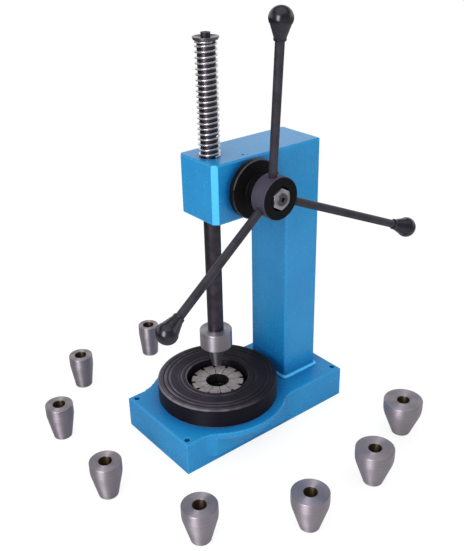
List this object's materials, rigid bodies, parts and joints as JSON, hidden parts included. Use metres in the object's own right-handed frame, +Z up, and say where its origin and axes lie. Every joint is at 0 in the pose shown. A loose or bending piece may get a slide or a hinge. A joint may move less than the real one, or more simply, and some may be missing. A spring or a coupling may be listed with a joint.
{
  "type": "bangle sizing press",
  "caption": "Hand press for sizing bangles: a spoked hub and pinion drive a spring-returned ram onto tapered mandrels that spread a split collet in a ring on a bolt-down base.",
  "frame": {"origin": "centre of the four bench bolt holes, on the underside of the base", "axes": "+Z up along the ram, -Y to the front where the user stands, +X to the side with the hub"},
  "size_m": [0.4905, 0.4667, 0.5793],
  "materials": {
    "blue_paint": "gloss enamel over a casting",
    "black_ring": "satin blackened steel",
    "black_hub": "satin black enamel",
    "black_rod": "satin blackened steel",
    "black_screw": "black oxide",
    "black_knob": "moulded, glossy",
    "bright_steel": "turned",
    "turned_steel": "turned, fine rings",
    "dark_steel": "ground and oiled",
    "spring_wire": "bright drawn wire",
    "bronze": "bearing bronze"
  },
  "bodies": {
    "frame": {"base": "blue_paint", "column": "blue_paint", "head": "blue_paint", "foot_weld": "blue_paint", "ring": "black_ring", "ring_screws": "black_screw", "jaw_guide_plate": "dark_steel", "garter_spring": "spring_wire", "upper_ram_bush": "bronze", "lower_ram_bush": "bronze", "bearing_flange": "black_hub", "flange_lock_screw": "black_screw", "front_shaft_bush": "bronze", "rear_shaft_bush": "bronze", "thrust_washers": "bronze", "return_spring": "spring_wire"},
    "hub_and_handles": {"pinion_shaft": "bright_steel", "pinion": "bright_steel", "drive_keys": "bright_steel", "hub": "black_hub", "hub_washer": "black_hub", "hub_nut": "bright_steel", "handle_rod_1": "black_rod", "handle_rod_2": "black_rod", "handle_rod_3": "black_rod", "handle_knob_1": "black_knob", "handle_knob_2": "black_knob", "handle_knob_3": "black_knob"},
    "ram_and_nose": {"ram": "dark_steel", "nose_collar": "bright_steel", "nose": "bright_steel", "collar_lock_screw": "black_screw", "spring_cap": "dark_steel", "cap_screw": "black_screw"},
    "jaw_1_body": {"jaw_1": "turned_steel"},
    "jaw_2_body": {"jaw_2": "turned_steel"},
    "jaw_3_body": {"jaw_3": "turned_steel"},
    "jaw_4_body": {"jaw_4": "turned_steel"},
    "jaw_5_body": {"jaw_5": "turned_steel"},
    "jaw_6_body": {"jaw_6": "turned_steel"},
    "jaw_7_body": {"jaw_7": "turned_steel"},
    "jaw_8_body": {"jaw_8": "turned_steel"},
    "jaw_9_body": {"jaw_9": "turned_steel"},
    "jaw_10_body": {"jaw_10": "turned_steel"},
    "jaw_11_body": {"jaw_11": "turned_steel"},
    "jaw_12_body": {"jaw_12": "turned_steel"},
    "mandrel_1_body": {"mandrel_1": "turned_steel"},
    "mandrel_2_body": {"mandrel_2": "turned_steel"},
    "mandrel_3_body": {"mandrel_3": "turned_steel"},
    "mandrel_4_body": {"mandrel_4": "turned_steel"},
    "mandrel_5_body": {"mandrel_5": "turned_steel"},
    "mandrel_6_body": {"mandrel_6": "turned_steel"},
    "mandrel_7_body": {"mandrel_7": "turned_steel"},
    "mandrel_8_body": {"mandrel_8": "turned_steel"}
  },
  "joints": [
    {"name": "hub_turn", "type": "hinge", "parent": "frame", "child": "hub_and_handles", "pos_m": [0, -0.002, 0.355], "axis": [1, 0, 0], "range_deg": [0, 98]},
    {"name": "ram_slide", "type": "slide", "parent": "frame", "child": "ram_and_nose", "axis": [0, 0, -1], "range_m": [0, 0.045], "stiffness_N_per_m": 520, "springref_m": -0.05, "deforming": ["return_spring"]},
    {"name": "jaw_1_slide", "type": "slide", "parent": "frame", "child": "jaw_1_body", "axis": [0.9659, 0.2588, 0], "range_m": [0, 0.0055], "stiffness_N_per_m": 160, "springref_m": -0.003, "deforming": ["garter_spring"]},
    {"name": "jaw_2_slide", "type": "slide", "parent": "frame", "child": "jaw_2_body", "axis": [0.7071, 0.7071, 0], "range_m": [0, 0.0055], "stiffness_N_per_m": 160, "springref_m": -0.003},
    {"name": "jaw_3_slide", "type": "slide", "parent": "frame", "child": "jaw_3_body", "axis": [0.2588, 0.9659, 0], "range_m": [0, 0.0055], "stiffness_N_per_m": 160, "springref_m": -0.003},
    {"name": "jaw_4_slide", "type": "slide", "parent": "frame", "child": "jaw_4_body", "axis": [-0.2588, 0.9659, 0], "range_m": [0, 0.0055], "stiffness_N_per_m": 160, "springref_m": -0.003},
    {"name": "jaw_5_slide", "type": "slide", "parent": "frame", "child": "jaw_5_body", "axis": [-0.7071, 0.7071, 0], "range_m": [0, 0.0055], "stiffness_N_per_m": 160, "springref_m": -0.003},
    {"name": "jaw_6_slide", "type": "slide", "parent": "frame", "child": "jaw_6_body", "axis": [-0.9659, 0.2588, 0], "range_m": [0, 0.0055], "stiffness_N_per_m": 160, "springref_m": -0.003},
    {"name": "jaw_7_slide", "type": "slide", "parent": "frame", "child": "jaw_7_body", "axis": [-0.9659, -0.2588, 0], "range_m": [0, 0.0055], "stiffness_N_per_m": 160, "springref_m": -0.003},
    {"name": "jaw_8_slide", "type": "slide", "parent": "frame", "child": "jaw_8_body", "axis": [-0.7071, -0.7071, 0], "range_m": [0, 0.0055], "stiffness_N_per_m": 160, "springref_m": -0.003},
    {"name": "jaw_9_slide", "type": "slide", "parent": "frame", "child": "jaw_9_body", "axis": [-0.2588, -0.9659, 0], "range_m": [0, 0.0055], "stiffness_N_per_m": 160, "springref_m": -0.003},
    {"name": "jaw_10_slide", "type": "slide", "parent": "frame", "child": "jaw_10_body", "axis": [0.2588, -0.9659, 0], "range_m": [0, 0.0055], "stiffness_N_per_m": 160, "springref_m": -0.003},
    {"name": "jaw_11_slide", "type": "slide", "parent": "frame", "child": "jaw_11_body", "axis": [0.7071, -0.7071, 0], "range_m": [0, 0.0055], "stiffness_N_per_m": 160, "springref_m": -0.003},
    {"name": "jaw_12_slide", "type": "slide", "parent": "frame", "child": "jaw_12_body", "axis": [0.9659, -0.2588, 0], "range_m": [0, 0.0055], "stiffness_N_per_m": 160, "springref_m": -0.003},
    {"name": "mandrel_1_lift", "type": "slide", "parent": "frame", "child": "mandrel_1_body", "axis": [0, 0, 1], "range_m": [0, 0.1]},
    {"name": "mandrel_2_lift", "type": "slide", "parent": "frame", "child": "mandrel_2_body", "axis": [0, 0, 1], "range_m": [0, 0.1]},
    {"name": "mandrel_3_lift", "type": "slide", "parent": "frame", "child": "mandrel_3_body", "axis": [0, 0, 1], "range_m": [0, 0.1]},
    {"name": "mandrel_4_lift", "type": "slide", "parent": "frame", "child": "mandrel_4_body", "axis": [0, 0, 1], "range_m": [0, 0.1]},
    {"name": "mandrel_5_lift", "type": "slide", "parent": "frame", "child": "mandrel_5_body", "axis": [0, 0, 1], "range_m": [0, 0.1]},
    {"name": "mandrel_6_lift", "type": "slide", "parent": "frame", "child": "mandrel_6_body", "axis": [0, 0, 1], "range_m": [0, 0.1]},
    {"name": "mandrel_7_lift", "type": "slide", "parent": "frame", "child": "mandrel_7_body", "axis": [0, 0, 1], "range_m": [0, 0.1]},
    {"name": "mandrel_8_lift", "type": "slide", "parent": "frame", "child": "mandrel_8_body", "axis": [0, 0, 1], "range_m": [0, 0.1]}
  ],
  "couplings": [
    {"joint": "ram_slide", "follows": "hub_turn", "m_per_rad": 0.02625},
    {"joint": "jaw_2_slide", "follows": "jaw_1_slide", "ratio": 1},
    {"joint": "jaw_3_slide", "follows": "jaw_1_slide", "ratio": 1},
    {"joint": "jaw_4_slide", "follows": "jaw_1_slide", "ratio": 1},
    {"joint": "jaw_5_slide", "follows": "jaw_1_slide", "ratio": 1},
    {"joint": "jaw_6_slide", "follows": "jaw_1_slide", "ratio": 1},
    {"joint": "jaw_7_slide", "follows": "jaw_1_slide", "ratio": 1},
    {"joint": "jaw_8_slide", "follows": "jaw_1_slide", "ratio": 1},
    {"joint": "jaw_9_slide", "follows": "jaw_1_slide", "ratio": 1},
    {"joint": "jaw_10_slide", "follows": "jaw_1_slide", "ratio": 1},
    {"joint": "jaw_11_slide", "follows": "jaw_1_slide", "ratio": 1},
    {"joint": "jaw_12_slide", "follows": "jaw_1_slide", "ratio": 1}
  ]
}
